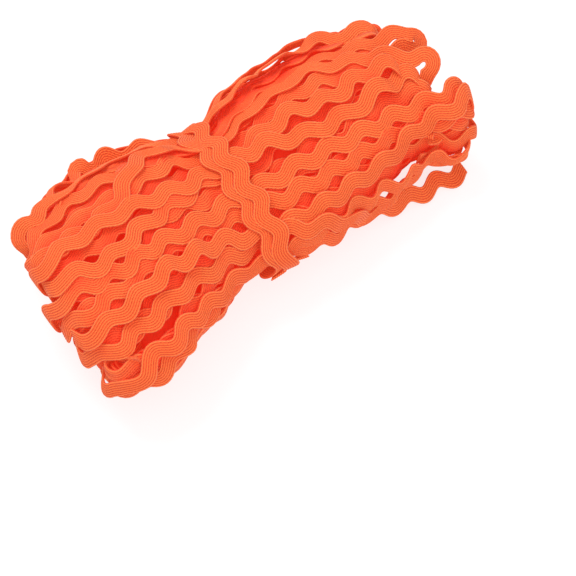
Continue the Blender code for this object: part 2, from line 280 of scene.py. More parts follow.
def new_tree(name, kind, inputs, outputs):
    """A node group with named inputs and outputs. Inputs are (name, kind of socket, default)."""
    tree = bpy.data.node_groups.new(name, kind)
    for label, socket_kind, default in inputs:
        socket = tree.interface.new_socket(name=label, in_out="INPUT", socket_type=socket_kind)
        if default is not None:
            socket.default_value = default
    for label, socket_kind in outputs:
        tree.interface.new_socket(name=label, in_out="OUTPUT", socket_type=socket_kind)
    return tree


def node(tree, kind, settings=None, **values):
    """Adds a node. Its values are numbers or other nodes' outputs, by the socket's name or place."""
    made = tree.nodes.new(kind)
    for key, value in (settings or {}).items():
        setattr(made, key, value)
    for key, value in values.items():
        socket = made.inputs[int(key[1:])] if key[0] == "i" and key[1:].isdigit() else made.inputs[key.replace("_", " ")]
        if isinstance(value, bpy.types.NodeSocket):
            tree.links.new(value, socket)
        else:
            socket.default_value = value
    return made


def maths(tree, operation, *values):
    made = tree.nodes.new("ShaderNodeMath")
    made.operation = operation
    for socket, value in zip(made.inputs, values):
        if isinstance(value, bpy.types.NodeSocket):
            tree.links.new(value, socket)
        else:
            socket.default_value = value
    return made.outputs[0]


def vectors(tree, operation, *values):
    made = tree.nodes.new("ShaderNodeVectorMath")
    made.operation = operation
    for place, value in enumerate(values):
        socket = made.inputs["Scale"] if operation == "SCALE" and place == 1 else made.inputs[place]
        if isinstance(value, bpy.types.NodeSocket):
            tree.links.new(value, socket)
        else:
            socket.default_value = value
    return made.outputs["Value" if operation == "DOT_PRODUCT" else "Vector"]


def read(tree, name, kind):
    made = node(tree, "GeometryNodeInputNamedAttribute", {"data_type": kind}, Name=name)
    return made.outputs[0]


def keep(tree, geometry, name, kind, value, domain="POINT"):
    made = node(
        tree, "GeometryNodeStoreNamedAttribute", {"data_type": kind, "domain": domain},
        Geometry=geometry, Name=name, Value=value,
    )
    return made.outputs[0]


braid_tree = new_tree(
    "wavy_braid_along_path", "GeometryNodeTree",
    [
        ("Geometry", "NodeSocketGeometry", None),
        ("Width", "NodeSocketFloat", BAND_WIDTH),
        ("Thickness", "NodeSocketFloat", BAND_THICKNESS),
        ("Ribs", "NodeSocketInt", BAND_RIBS),
        ("Rib height", "NodeSocketFloat", RIB_HEIGHT),
        ("Swing", "NodeSocketFloat", SWING),
        ("Pitch", "NodeSocketFloat", PITCH),
        ("Lean", "NodeSocketFloat", LEAN),
        ("Material", "NodeSocketMaterial", None),
    ],
    [("Geometry", "NodeSocketGeometry")],
)
group_in = braid_tree.nodes.new("NodeGroupInput").outputs
group_out = braid_tree.nodes.new("NodeGroupOutput").inputs

# The section: an even row of points over the top from edge to edge, and the same row back underneath
points_on_top = maths(braid_tree, "MULTIPLY_ADD", group_in["Ribs"], 2.0, 1.0)
ring = node(braid_tree, "GeometryNodeCurvePrimitiveCircle", {"mode": "RADIUS"})
braid_tree.links.new(maths(braid_tree, "MULTIPLY", points_on_top, 2.0), ring.inputs["Resolution"])
index = braid_tree.nodes.new("GeometryNodeInputIndex").outputs[0]
is_top = maths(braid_tree, "LESS_THAN", index, points_on_top)
from_end = maths(braid_tree, "SUBTRACT", maths(braid_tree, "MULTIPLY_ADD", points_on_top, 2.0, -1.0), index)
mix = node(braid_tree, "ShaderNodeMix", {"data_type": "FLOAT"}, Factor=is_top, A=from_end, B=index)
place_in_row = mix.outputs[0]
last_place = maths(braid_tree, "SUBTRACT", points_on_top, 1.0)
across_share = maths(braid_tree, "DIVIDE", place_in_row, last_place)
across_unit = maths(braid_tree, "MULTIPLY_ADD", across_share, 2.0, -1.0)
across = maths(braid_tree, "MULTIPLY", across_unit, maths(braid_tree, "MULTIPLY", group_in["Width"], 0.5))
rib_wave = maths(braid_tree, "ABSOLUTE", maths(braid_tree, "SINE", maths(braid_tree, "MULTIPLY", place_in_row, math.pi / 2)))
groove = maths(braid_tree, "MULTIPLY", maths(braid_tree, "SUBTRACT", 1.0, rib_wave), group_in["Rib height"])
edge = maths(braid_tree, "POWER", maths(braid_tree, "ABSOLUTE", across_unit), 4.0)
half_thickness = maths(
    braid_tree, "MULTIPLY",
    maths(braid_tree, "MULTIPLY", group_in["Thickness"], 0.5),
    maths(braid_tree, "MULTIPLY_ADD", edge, -0.30, 1.0),
)
top_or_under = maths(braid_tree, "MULTIPLY_ADD", is_top, 2.0, -1.0)
lift = maths(braid_tree, "MULTIPLY", top_or_under, maths(braid_tree, "SUBTRACT", half_thickness, groove))
section_place = node(braid_tree, "ShaderNodeCombineXYZ", X=lift, Y=across, Z=0.0)
section = node(
    braid_tree, "GeometryNodeSetPosition", Geometry=ring.outputs[0], Position=section_place.outputs[0]
).outputs[0]
section = keep(braid_tree, section, "across", "FLOAT", across)
section = keep(braid_tree, section, "lift", "FLOAT", lift)

# The sweep: the section goes along each path, and its points go out from the path by the wave and the lean
position = braid_tree.nodes.new("GeometryNodeInputPosition").outputs[0]
path = node(braid_tree, "GeometryNodeMeshToCurve", Mesh=group_in["Geometry"]).outputs[0]
path = keep(braid_tree, path, "centre", "FLOAT_VECTOR", position)
band = node(braid_tree, "GeometryNodeCurveToMesh", Curve=path, Profile_Curve=section, Fill_Caps=True).outputs[0]
wave_angle = maths(braid_tree, "MULTIPLY", read(braid_tree, "wave", "FLOAT"), 2 * math.pi)
swing_size = maths(braid_tree, "MULTIPLY", group_in["Swing"], read(braid_tree, "swell", "FLOAT"))
swing_now = maths(braid_tree, "MULTIPLY", maths(braid_tree, "COSINE", wave_angle), swing_size)
across_now = read(braid_tree, "across", "FLOAT")
sideways = maths(braid_tree, "SUBTRACT", across_now, swing_now)
slope = maths(
    braid_tree, "MULTIPLY", maths(braid_tree, "SINE", wave_angle),
    maths(braid_tree, "DIVIDE", maths(braid_tree, "MULTIPLY", swing_size, 2 * math.pi), group_in["Pitch"]),
)
forward = maths(
    braid_tree, "MULTIPLY", maths(braid_tree, "MULTIPLY", slope, across_now),
    maths(braid_tree, "MULTIPLY", group_in["Lean"], -1.0),
)
draped = maths(braid_tree, "ADD", read(braid_tree, "tilt", "FLOAT"), maths(
    braid_tree, "MULTIPLY", read(braid_tree, "cup", "FLOAT"), sideways,
))
upward = maths(braid_tree, "MULTIPLY_ADD", draped, sideways, read(braid_tree, "lift", "FLOAT"))
target = vectors(braid_tree, "ADD", read(braid_tree, "centre", "FLOAT_VECTOR"), vectors(
    braid_tree, "SCALE", read(braid_tree, "side", "FLOAT_VECTOR"), sideways))
target = vectors(braid_tree, "ADD", target, vectors(
    braid_tree, "SCALE", read(braid_tree, "facing", "FLOAT_VECTOR"), upward))
target = vectors(braid_tree, "ADD", target, vectors(
    braid_tree, "SCALE", read(braid_tree, "ahead", "FLOAT_VECTOR"), forward))
edge_share = maths(braid_tree, "DIVIDE", across_now, maths(braid_tree, "MULTIPLY", group_in["Width"], 0.5))
# Painted shade: how far the band lies under its neighbours, more towards one edge, kept for the material to darken it.
painted_shade_here = maths(
    braid_tree, "MULTIPLY_ADD", read(braid_tree, "painted_shade_side", "FLOAT"), edge_share, read(braid_tree, "painted_shade", "FLOAT"),
)
band = keep(braid_tree, band, "painted_shade", "FLOAT", maths(braid_tree, "MAXIMUM", painted_shade_here, 0.0))
band = node(braid_tree, "GeometryNodeSetPosition", Geometry=band, Position=target).outputs[0]
map_x = maths(braid_tree, "ADD", maths(braid_tree, "DIVIDE", across_now, group_in["Width"]), 0.5)
map_place = node(braid_tree, "ShaderNodeCombineXYZ", X=map_x, Y=read(braid_tree, "along", "FLOAT"), Z=0.0).outputs[0]
band = keep(braid_tree, band, "UVMap", "FLOAT2", map_place, domain="CORNER")
for captured in CAPTURED:
    band = node(braid_tree, "GeometryNodeRemoveAttribute", Geometry=band, Name=captured).outputs[0]
band = node(braid_tree, "GeometryNodeSetShadeSmooth", Geometry=band).outputs[0]
band = node(braid_tree, "GeometryNodeRealizeInstances", Geometry=band).outputs[0]
band = node(braid_tree, "GeometryNodeSetMaterial", Geometry=band, Material=group_in["Material"]).outputs[0]
braid_tree.links.new(band, group_out["Geometry"])


def braid_mesh(name, paths, material, **sizes):
    """The mesh of the braid along the given paths, made by the node tree."""
    counts = [len(path["centre"]) for path in paths]
    starts = np.concatenate([[0], np.cumsum(counts)])
    centre = np.concatenate([path["centre"] for path in paths])
    edges = [(start + i, start + i + 1) for start, count in zip(starts, counts) for i in range(count - 1)]
    edges += [(start + count - 1, start) for start, count, path in zip(starts, counts, paths) if path["closed"]]
    mesh = bpy.data.meshes.new(name + "_paths")
    mesh.from_pydata([tuple(point) for point in centre], edges, [])
    for key in ("facing", "side", "ahead"):
        layer = mesh.attributes.new(key, "FLOAT_VECTOR", "POINT")
        layer.data.foreach_set("vector", np.concatenate([path[key] for path in paths]).ravel())
    for key in ("wave", "swell", "tilt", "cup", "along", "tone", "painted_shade", "painted_shade_side"):
        layer = mesh.attributes.new(key, "FLOAT", "POINT")
        layer.data.foreach_set("value", np.concatenate([path[key] for path in paths]))
    holder = bpy.data.objects.new(name + "_paths", mesh)
    bpy.context.scene.collection.objects.link(holder)
    maker = holder.modifiers.new("Braid", "NODES")
    maker.node_group = braid_tree
    sizes = {"Material": material, **sizes}
    for item in braid_tree.interface.items_tree:
        if item.item_type == "SOCKET" and item.in_out == "INPUT" and item.name in sizes:
            maker[item.identifier] = sizes[item.name]
    bpy.context.view_layer.update()
    graph = bpy.context.evaluated_depsgraph_get()
    made = bpy.data.meshes.new_from_object(holder.evaluated_get(graph))
    bpy.data.objects.remove(holder)
    turn_outward(made)
    press_on_floor(made, LOWEST)
    return made


# The map of what is laid so far: the height of the top of it, over X and round the hank
MAP_X = 0.0005
MAP_START = -0.0840
laid = CORE_HEIGHT - dent(MAP_START + MAP_X * np.arange(337)[:, None], np.arange(360.0)[None, :])


def map_place_of(x, turn):
    column = np.clip(np.rint((x - MAP_START) / MAP_X).astype(int), 0, laid.shape[0] - 1)
    return column, np.rint(turn).astype(int) % 360


def smooth(values, spread):
    """A line of values, smoothed over that many places."""
    reach = int(3 * spread) + 1
    weights = np.exp(-0.5 * (np.arange(-reach, reach + 1) / spread) ** 2)
    padded = np.pad(values, reach, mode="edge")
    return np.convolve(padded, weights / weights.sum(), mode="valid")


def highest_near(values, reach):
    padded = np.pad(values, reach, mode="edge")
    return np.max([padded[i:i + len(values)] for i in range(2 * reach + 1)], axis=0)


def count_waves(x, crests):
    """How many waves there are up to each x, with crests at the places given."""
    counts = [max(1, round((after - before) / PITCH)) for before, after in zip(crests, crests[1:])]
    total = np.concatenate([[0.0], np.cumsum(counts)])
    waves = np.interp(x, crests, total)
    waves = np.where(x < crests[0], (x - crests[0]) / PITCH, waves)
    return np.where(x > crests[-1], total[-1] + (x - crests[-1]) / PITCH, waves)


ACROSS = np.linspace(-0.48, 0.48, 5) * BAND_WIDTH
FOOTPRINT = np.linspace(-0.5, 0.5, 15) * BAND_WIDTH


def lay(x, turn, wave, swell, lift, softness=2.4):
    """Lays a run on what is there: its height over the outline and its sideways tilt. Then it is part of the map."""
    swing = -SWING * swell * np.cos(2 * np.pi * wave)
    arc = arc_per_degree(x, turn)
    samples = swing[:, None] + ACROSS[None, :]
    under = laid[map_place_of(np.repeat(x, 5), (turn[:, None] + samples / arc[:, None]).ravel())]
    under = under.reshape(-1, 5)
    left, right = under[:, :2].max(axis=1), under[:, 3:].max(axis=1)
    tilt = np.clip((right - left) / (0.72 * BAND_WIDTH), -0.30, 0.30)
    tilt = smooth(tilt, softness * 2)
    height = (under - tilt[:, None] * samples).max(axis=1)
    height = smooth(highest_near(height, 1), softness)
    for _ in range(2):
        short = (under - tilt[:, None] * samples).max(axis=1) - height
        height = height + smooth(highest_near(np.maximum(short, 0.0), 1), softness * 0.7)
    height = height + BAND_THICKNESS / 2 + lift
    prints = swing[:, None] + FOOTPRINT[None, :]
    top = height[:, None] + tilt[:, None] * prints + BAND_THICKNESS / 2
    for back in (0.0, STEP / 2):
        columns, rows = map_place_of(np.repeat(x - back, 15), (turn[:, None] + prints / arc[:, None]).ravel())
        np.maximum.at(laid, (columns, rows), top.ravel())
    return height, tilt


def wander(x, spread, points=7):
    """A smooth random change along X."""
    places = np.linspace(-0.085, 0.085, points)
    return through(np.column_stack([places, chance.normal(0.0, spread, points)]), x)[:, 0]


def along_table(rows, x):
    """Values of a short table of x and value, or nought where there is no table."""
    if rows is None:
        return np.zeros(len(x))
    return through(np.array(rows, dtype=float), x)[:, 0]


chance = np.random.default_rng(7)
runs = []


def lay_run(group, turns_at, angles, left_fold, right_fold, crests, tone=0.5, turned=None, lift=None):
    """One run from fold to fold.

    Its turns are given at the stations. A fold is its furthest x, its radius and the way that it swings, in degrees
    from straight into the hank towards the near side. A run without a fold of its own ends there, open. Turned is how
    far the band faces the camera rather than straight out.
    """
    left, right = left_fold[0] + left_fold[1], right_fold[0] - right_fold[1]
    x = np.linspace(left, right, int((right - left) / STEP) + 1)
    turn = through(np.column_stack([turns_at, angles]), x)[:, 0]
    wave = count_waves(x, crests) + wander(x, 0.035)
    swell = 1.0 + chance.normal(0.0, 0.05) + wander(x, 0.06)
    height, tilt = lay(x, turn, wave, swell, along_table(lift, x))
    runs.append({
        "group": group, "x": x, "turn": turn, "wave": wave, "swell": swell, "height": height, "tilt": tilt,
        "folds": (left_fold[1:], right_fold[1:]), "tone": tone, "turned": along_table(turned, x),
    })


STATIONS = np.array([-0.072, -0.036, -0.0066, 0.034, 0.070])
REACH = np.array([
    # turn, how far the runs there reach to the left and to the right
    (-45, 0.0675, 0.0680), (0, 0.0690, 0.0680), (45, 0.0745, 0.0640), (75, 0.0765, 0.0620), (105, 0.0775, 0.0680),
    (135, 0.0770, 0.0725), (160, 0.0740, 0.0690), (180, 0.0715, 0.0680), (225, 0.0690, 0.0680),
    (270, 0.0680, 0.0680), (315, 0.0675, 0.0680), (360, 0.0690, 0.0680), (405, 0.0745, 0.0640),
])


def spread_round(group, count, short, radii, first=0.0, span=360.0):
    """Runs laid evenly round the hank, every other one first, each with its own wander."""
    for i in [*range(0, count, 2), *range(1, count, 2)]:
        angle = first + span * (i + 0.5) / count
        reach = through(REACH, np.array([angle % 360.0]))[0] - short + chance.uniform(-0.0016, 0.0012, 2)
        left_fold = (-reach[0], chance.uniform(*radii), chance.normal(0.0, 12.0))
        right_fold = (reach[1], chance.uniform(*radii), chance.normal(0.0, 12.0))
        shift = chance.uniform(0.0, PITCH)
        lay_run(
            group, STATIONS, angle + chance.normal(0.0, 3.2, len(STATIONS)), left_fold, right_fold,
            (-0.0420 + shift, 0.0300 + shift), tone=chance.uniform(0.2, 0.8),
        )


spread_round("third", 15, 0.0050, (0.0018, 0.0030), first=6.0)
spread_round("second", 20, 0.0014, (0.0022, 0.0040))


# The outer runs
# What shows: each run of the wound braid from its fold at one end of the hank to its fold at the other,
# under the tie at the waist. On the far side and underneath they are laid first, those in view last.

spread_round("under", 10, 0.0, (0.0050, 0.0070), first=186.0, span=168.0)

FACING_STATIONS = 0.001 * np.array([-72, -60, -50, -40, -30, -20, -6.6, 10, 22, 34, 46, 58, 70])
NEAR_EDGE = ((-0.080, 0.30), (-0.040, 0.35), (-0.012, 0.0), (0.012, 0.0), (0.070, 0.0))
LOW_EDGE = ((-0.012, 0.25), (0.020, 0.35), (0.070, 0.10))
FAR_BROAD = (
    (-0.080, 0.0), (-0.064, -0.2), (-0.056, -0.4), (-0.048, -0.2), (-0.042, 0.75), (-0.020, 0.75), (-0.006, 0.0),
    (0.006, -0.2), (0.020, -0.5), (0.060, -0.5),
)
FAR_LIFT = (
    (-0.080, 0.0), (-0.062, 0.0010), (-0.054, 0.0028), (-0.048, -0.0002), (-0.042, -0.0008), (-0.033, 0.0008),
    (-0.027, -0.0008), (-0.020, -0.0020), (-0.012, -0.0010), (-0.004, 0.0), (0.070, 0.0),
)
FAR_LINE = (
    (-0.080, 0.35), (-0.062, 0.35), (-0.052, -0.50), (-0.024, -0.60), (-0.016, 0.1), (-0.006, 0.1), (0.008, -0.4),
    (0.034, -0.5), (0.044, 0.3), (0.070, 0.4),
)
LOW_LIFT = ((-0.010, 0.0), (0.022, 0.0), (0.034, 0.0010), (0.046, 0.0024), (0.058, 0.0022), (0.070, 0.0008))
RIGHT_LOOP = ((-0.080, 0.0), (0.050, 0.0), (0.064, 0.45), (0.080, 0.60))
FACING = [
    # turns at the stations; left fold; right fold; crests; tone; turned; lift
    ((66, 67, 70, 76, 82, 85, 85, 85, 85, 85, 85, 85, 85), (-0.0770, 0.0050, 0.0), (-0.0050, 0.0, 0.0),
     (-0.0740, -0.0255), 0.45, None, None),
    ((98, 93, 95, 98, 101, 105, 107, 111, 115, 119, 125, 128, 125), (-0.0840, 0.0070, 5.0), (0.0765, 0.0045, 20.0),
     (-0.0630, -0.0255, -0.0015, 0.0215), 0.45, None, None),
    ((19, 16, 10, 7, 8, 10, 6, 11, 10, 6, 4, 12, 14), (-0.0680, 0.0035, 0.0), (0.0560, 0.0030, 0.0),
     (-0.0430, -0.0330, -0.0210, 0.0110, 0.0485), 0.55, FAR_BROAD, FAR_LIFT),
    ((125, 116, 116, 121, 125, 131, 139, 140, 143, 147, 149, 151, 155), (-0.0835, 0.0070, 0.0), (0.0735, 0.0035, -10.0),
     (-0.0495, -0.0235, 0.0130, 0.0465), 0.50, None, None),
    ((158, 151, 144, 148, 149, 158, 166, 166, 166, 166, 166, 166, 166), (-0.0770, 0.0045, -10.0), (-0.0050, 0.0, 0.0),
     (-0.0550, -0.0310), 0.65, NEAR_EDGE, None),
    # The next run's low tone is painted shade: it darkens a run that lies low on the near side, in shadow.
    ((166, 166, 166, 166, 166, 166, 170, 184, 190, 188, 185, 185, 184), (-0.0085, 0.0, 0.0), (0.0690, 0.0035, 0.0),
     (0.0040, 0.0600), 0.10, None, LOW_LIFT),
    ((166, 166, 166, 166, 166, 166, 162, 168, 174, 177, 176, 173, 172), (-0.0085, 0.0, 0.0), (0.0680, 0.0035, -10.0),
     (0.0090, 0.0540), 0.40, LOW_EDGE, None),
    ((44, 34, 39, 46, 47, 44, 34, 37, 36, 37, 42, 44, 40), (-0.0790, 0.0060, 10.0), (0.0745, 0.0026, 70.0),
     (-0.0680, -0.0545, 0.0540, 0.0665), 0.50, RIGHT_LOOP, None),
    ((29, 24, 25, 27, 25, 22, 11, 24, 23, 20, 20, 25, 22), (-0.0770, 0.0050, 25.0), (0.0640, 0.0035, 20.0),
     (-0.0710, -0.0600, -0.0210, 0.0585), 0.60, FAR_LINE, None),
    ((50, 49, 53, 58, 57, 53, 53, 60, 57, 60, 67, 69, 69), (-0.0785, 0.0055, 0.0), (0.0600, 0.0035, 10.0),
     (-0.0550, -0.0440, -0.0320, 0.0035, 0.0360), 0.55, None, None),
    ((57, 57, 60, 59, 45, 40, 42, 47, 47, 47, 57, 64, 71), (-0.0770, 0.0050, 0.0), (0.0720, 0.0045, 70.0),
     (-0.0600, 0.0070, 0.0195, 0.0340, 0.0480, 0.0595), 0.62, RIGHT_LOOP, None),
    ((82, 84, 88, 93, 96, 97, 93, 96, 100, 105, 111, 113, 106), (-0.0850, 0.0075, 0.0), (0.0770, 0.0045, 15.0),
     (-0.0695, -0.0390, 0.0010, 0.0485), 0.50, None, None),
    ((72, 77, 79, 80, 79, 77, 66, 67, 67, 74, 73, 75, 75), (-0.0785, 0.0060, 0.0), (0.0600, 0.0035, 10.0),
     (-0.0555, -0.0310, 0.0205, 0.0445), 0.60, None, None),
    ((61, 60, 64, 69, 72, 73, 65, 75, 84, 89, 89, 86, 83), (-0.0792, 0.0065, -5.0), (0.0640, 0.0035, 10.0),
     (-0.0660, -0.0160, -0.0010, 0.0095, 0.0340, 0.0485), 0.58, None, None),
    ((109, 103, 102, 106, 110, 117, 128, 129, 131, 134, 134, 127, 115), (-0.0812, 0.0065, 5.0), (0.0765, 0.0050, 30.0),
     (-0.0675, -0.0430, 0.0015, 0.0245, 0.0505), 0.55, None, None),
    ((157, 136, 135, 140, 144, 150, 157, 152, 153, 158, 163, 164, 168), (-0.0785, 0.0050, -15.0), (0.0700, 0.0035, 0.0),
     (-0.0600, -0.0240, 0.0015, 0.0240), 0.48, NEAR_EDGE, None),
]
FIRST_FACING = 9
for order, (angles, left_fold, right_fold, crests, tone, turned, lift) in enumerate(FACING):
    lay_run(
        "facing_first" if order < FIRST_FACING else "facing_last", FACING_STATIONS, np.array(angles, dtype=float),
        left_fold, right_fold, crests, tone, turned, lift,
    )

# All the heights are now over a core of an even depth, so the whole stack is shifted until its top is the outline
top_of_stack = np.median(laid[:, ::4], axis=1)
top_of_stack = smooth(top_of_stack, 5.0)
TOP_TARGET = 0.0001


def settled(x, height):
    """The height over the outline, once the stack's mean top is the outline."""
    return height - np.interp(x, MAP_START + MAP_X * np.arange(len(top_of_stack)), top_of_stack) + TOP_TARGET


def spun(vector, axis, angles):
    """A vector turned about a unit axis by each of the angles."""
    cosine, sine = np.cos(angles)[:, None], np.sin(angles)[:, None]
    return vector * cosine + np.cross(axis, vector) * sine + axis * (axis @ vector) * (1 - cosine)


def bend_round(point, ahead, facing, side, radius, swing, tuck):
    """The fold at the end of a run, and the stretch behind it that goes back inside."""
    swing = math.radians(swing)
    over = -facing * math.cos(swing) + side * math.sin(swing)
    axis = np.cross(ahead, over)
    arc = np.linspace(0.0, np.pi, max(5, int(np.pi * radius / STEP)) + 1)[1:]
    sweep = point + radius * (ahead * np.sin(arc)[:, None] + over * (1 - np.cos(arc))[:, None])
    faces = spun(facing, axis, arc)
    back = np.arange(STEP, tuck, STEP)
    tail = sweep[-1] + unit(-ahead + 0.16 * over) * back[:, None]
    return np.concatenate([sweep, tail]), np.concatenate([faces, np.repeat(faces[-1:], len(back), axis=0)])


def path_of(centre, facing, wave, swell, tilt, cup, tone, painted_shade=0.0, painted_shade_side=0.0, closed=False):
    """All that the node tree needs at each point of a path."""
    if closed:
        ahead = unit(np.roll(centre, -1, axis=0) - np.roll(centre, 1, axis=0))
    else:
        ahead = unit(np.gradient(centre, axis=0))
    side = unit(np.cross(ahead, facing))
    facing = np.cross(side, ahead)
    gaps = np.linalg.norm(np.diff(centre, axis=0), axis=1)
    along = np.concatenate([[0.0], np.cumsum(gaps)])
    return {
        "centre": centre, "facing": facing, "side": side, "ahead": ahead, "wave": wave, "swell": swell,
        "closed": closed, "tilt": tilt, "cup": cup, "along": along + tone * 0.37, "tone": np.full(len(centre), tone),
        "painted_shade": np.zeros(len(centre)) + painted_shade, "painted_shade_side": np.zeros(len(centre)) + painted_shade_side,
    }


camera_way = np.array(to_camera)
# The map smoothed round each run, and the depth under it at which the painted shade is full.
PAINTED_SHADE_DEPTH = 0.0017
WRAP = 40
lines_along = np.array([smooth(column, 3.0) for column in laid.T]).T
lines_round = np.hstack([lines_along[:, -WRAP:], lines_along, lines_along[:, :WRAP]])
surroundings = np.array([smooth(row, 4.0) for row in lines_round])[:, WRAP:-WRAP]


def painted_shade_of(run):
    """How far a run lies below what is round it, from 0 to 1: at its middle, and how much more at its near edge. This
    is the amount of painted shade that darkens the run's colour.
    """
    swing = -SWING * run["swell"] * np.cos(2 * np.pi * run["wave"])
    samples = swing[:, None] + ACROSS[None, :]
    arc = arc_per_degree(run["x"], run["turn"])
    place = map_place_of(np.repeat(run["x"], 5), (run["turn"][:, None] + samples / arc[:, None]).ravel())
    own = run["height"][:, None] + run["tilt"][:, None] * samples + BAND_THICKNESS / 2
    share = np.clip((surroundings[place].reshape(-1, 5) - own) / PAINTED_SHADE_DEPTH, 0.0, 1.0)
    share = share * (1 - np.clip(run["turned"], 0.0, 1.0))[:, None]
    return smooth(share.mean(axis=1), 1.5), smooth(share[:, 3:].mean(axis=1) - share[:, :2].mean(axis=1), 1.5) / 2


def run_path(run, tuck=0.0150):
    """The whole path of a laid run, with its folds."""
    x, turn = run["x"], run["turn"]
    centre = on_outline(x, turn, settled(x, run["height"]))
    facing = outline_normal(x, turn)
    ahead = unit(np.gradient(centre, axis=0))
    side = unit(np.cross(ahead, facing))
    facing = np.cross(side, ahead)
    turned = run["turned"][:, None]
    facing = unit(facing * (1 - turned) + (camera_way - ahead * (ahead @ camera_way)[:, None]) * turned)
    side = unit(np.cross(ahead, facing))
    stays = 1 - np.abs(run["turned"])
    tilt = run["tilt"] * stays
    cup = -outline_curvature(x, turn) / 2 * 0.9 * stays
    parts = [(centre, facing)]
    before = after = 0
    (left_radius, left_swing), (right_radius, right_swing) = run["folds"]
    if left_radius:
        points, faces = bend_round(centre[0], -ahead[0], facing[0], side[0], left_radius, left_swing, tuck)
        parts.insert(0, (points[::-1], faces[::-1]))
        before = len(points)
    if right_radius:
        points, faces = bend_round(centre[-1], ahead[-1], facing[-1], side[-1], right_radius, right_swing, tuck)
        parts.append((points, faces))
        after = len(points)
    turns_per_step = STEP / PITCH
    wave = np.concatenate([
        run["wave"][0] - turns_per_step * np.arange(before, 0, -1),
        run["wave"],
        run["wave"][-1] + turns_per_step * np.arange(1, after + 1),
    ])
    fade = np.concatenate([
        np.exp(-np.arange(before, 0, -1) / 4.0), np.ones(len(x)), np.exp(-np.arange(1, after + 1) / 4.0),
    ])
    painted_shade, painted_shade_side = painted_shade_of(run)
    return path_of(
        np.concatenate([part[0] for part in parts]), np.concatenate([part[1] for part in parts]), wave,
        np.pad(run["swell"], (before, after), mode="edge"), np.pad(tilt, (before, after), mode="edge") * fade,
        np.pad(cup, (before, after), mode="edge") * fade, run["tone"],
        np.pad(painted_shade, (before, after), mode="edge"), np.pad(painted_shade_side, (before, after), mode="edge"),
    )


# The braid's finish: cords side by side with a groove between them, stitches that show as a row of small
# dots along each groove, a slant to the yarn on each cord, a paler cord at each edge, and an uneven dye.
# The grooves and stitch dots are darkened with painted shade, and the pale edge cords are partly a painted highlight.
# Runs that lie under their neighbours get painted shade, and a painted red glow lifts the shade.
# It is polyester, so it has a soft low sheen.
weave = new_tree(
    "braid_weave", "ShaderNodeTree",
    [
        ("Across", "NodeSocketFloat", 0.5),
        ("Along", "NodeSocketFloat", 0.0),
        ("Ribs", "NodeSocketFloat", float(BAND_RIBS)),
        ("Stitch length", "NodeSocketFloat", 0.00105),
    ],
    [("Groove", "NodeSocketFloat"), ("Edge", "NodeSocketFloat"), ("Height", "NodeSocketFloat")],
)
weave_in = weave.nodes.new("NodeGroupInput").outputs
weave_out = weave.nodes.new("NodeGroupOutput").inputs
rib_place = maths(weave, "MULTIPLY", weave_in["Across"], weave_in["Ribs"])
rib_share = maths(weave, "FRACT", rib_place)
from_middle = maths(weave, "MULTIPLY", maths(weave, "ABSOLUTE", maths(weave, "SUBTRACT", rib_share, 0.5)), 2.0)
stitch_place = maths(weave, "DIVIDE", weave_in["Along"], weave_in["Stitch length"])
nearest_groove = maths(weave, "FLOOR", maths(weave, "ADD", rib_place, 0.5))
stitch_share = maths(weave, "FRACT", maths(weave, "ADD", stitch_place, maths(weave, "MULTIPLY", nearest_groove, 0.5)))
bead = maths(weave, "MULTIPLY", maths(weave, "ABSOLUTE", maths(weave, "SUBTRACT", stitch_share, 0.5)), 2.0)
groove_start = maths(weave, "MULTIPLY_ADD", bead, -0.45, 0.62)
groove_mask = node(weave, "ShaderNodeMapRange", {"interpolation_type": "SMOOTHSTEP"}, Value=from_middle, To_Min=0.0, To_Max=1.0)
weave.links.new(groove_start, groove_mask.inputs["From Min"])
groove_mask.inputs["From Max"].default_value = 0.90
from_centre = maths(weave, "MULTIPLY", maths(weave, "ABSOLUTE", maths(weave, "SUBTRACT", weave_in["Across"], 0.5)), 2.0)
edge_mask = node(weave, "ShaderNodeMapRange", {"interpolation_type": "SMOOTHSTEP"}, Value=from_centre, From_Min=0.84, From_Max=0.93)
slant = maths(weave, "SINE", maths(weave, "MULTIPLY", maths(weave, "ADD", stitch_place, rib_share), 2 * math.pi))
cord_top = maths(weave, "SUBTRACT", 1.0, from_middle)
yarn = maths(weave, "MULTIPLY", slant, maths(weave, "MULTIPLY", cord_top, 0.30))
weave.links.new(groove_mask.outputs[0], weave_out["Groove"])
weave.links.new(edge_mask.outputs[0], weave_out["Edge"])
weave.links.new(maths(weave, "SUBTRACT", yarn, groove_mask.outputs[0]), weave_out["Height"])


def blend(tree, factor, first, second):
    """One colour over another."""
    made = tree.nodes.new("ShaderNodeMix")
    made.data_type = "RGBA"
    for place, value in ((0, factor), (6, first), (7, second)):
        if isinstance(value, bpy.types.NodeSocket):
            tree.links.new(value, made.inputs[place])
        else:
            made.inputs[place].default_value = value
    return made.outputs[2]


